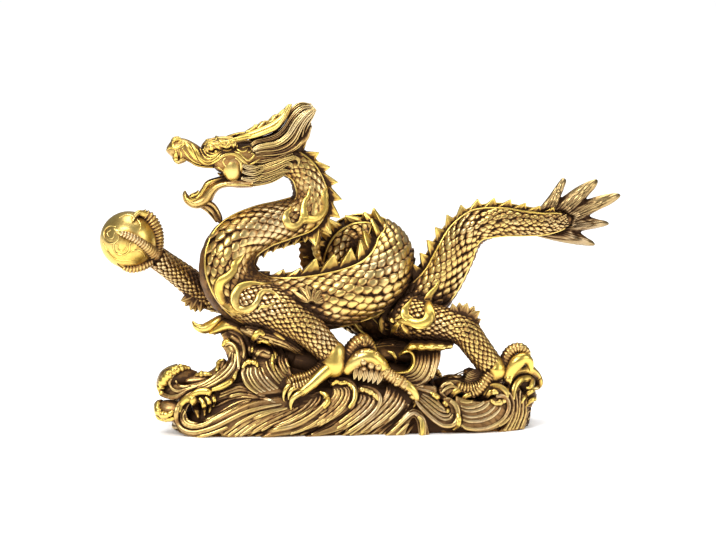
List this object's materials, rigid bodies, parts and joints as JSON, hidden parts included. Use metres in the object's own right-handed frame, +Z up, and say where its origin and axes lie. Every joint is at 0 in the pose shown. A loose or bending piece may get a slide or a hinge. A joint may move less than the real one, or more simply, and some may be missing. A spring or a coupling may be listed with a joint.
{
  "type": "dragon sculpture",
  "caption": "Cast brass dragon coiled over a base of curling waves, its raised forepaw holding a pearl, its finned tail swept back.",
  "frame": {"origin": "on the flat underside, below the middle of the wave base", "axes": "+X from the pearl towards the tail fin, +Y from the front to the back, +Z up"},
  "size_m": [0.4192, 0.1188, 0.2615],
  "materials": {
    "antique_brass": "polished highs over dark brown patina in the recesses"
  },
  "bodies": {
    "root": {"dragon_on_waves": "antique_brass"}
  },
  "joints": []
}
